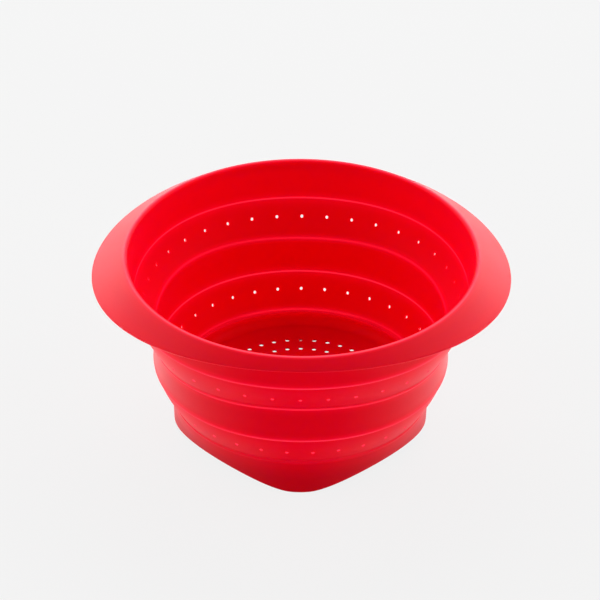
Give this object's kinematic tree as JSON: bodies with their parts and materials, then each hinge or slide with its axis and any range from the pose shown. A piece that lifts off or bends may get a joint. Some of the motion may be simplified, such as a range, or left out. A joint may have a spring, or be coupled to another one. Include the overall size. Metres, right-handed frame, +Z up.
{
  "type": "collapsible colander",
  "caption": "Round folding kitchen colander in flexible silicone, with stiff walls joined by perforated folds, a sloping oval brim with two side handles and a holed floor on wavy feet.",
  "frame": {"origin": "on the table, on the axis of the bowl", "axes": "+Z up through the opening, +X along the two handles, +Y towards the back"},
  "size_m": [0.2784, 0.2502, 0.1339],
  "materials": {
    "rim_brim": "satin, saturated red silicone",
    "upper_wall": "satin, saturated red silicone",
    "upper_fold": "satin, saturated red silicone",
    "middle_wall": "satin, saturated red silicone",
    "lower_fold": "satin, saturated red silicone",
    "base_wall": "satin, saturated red silicone",
    "drain_floor": "satin, saturated red silicone",
    "foot_skirt": "satin, saturated red silicone"
  },
  "bodies": {
    "base": {"foot_skirt": "foot_skirt", "drain_floor": "drain_floor", "base_wall": "base_wall", "lower_fold": "lower_fold"},
    "middle": {"middle_wall": "middle_wall", "upper_fold": "upper_fold"},
    "rim": {"upper_wall": "upper_wall", "rim_brim": "rim_brim"}
  },
  "joints": [
    {"name": "lower_fold_slide", "type": "slide", "parent": "base", "child": "middle", "axis": [0, 0, -1], "range_m": [0, 0.0506], "deforming": ["lower_fold"]},
    {"name": "upper_fold_slide", "type": "slide", "parent": "middle", "child": "rim", "axis": [0, 0, -1], "range_m": [0, 0.0506], "deforming": ["upper_fold"]}
  ]
}
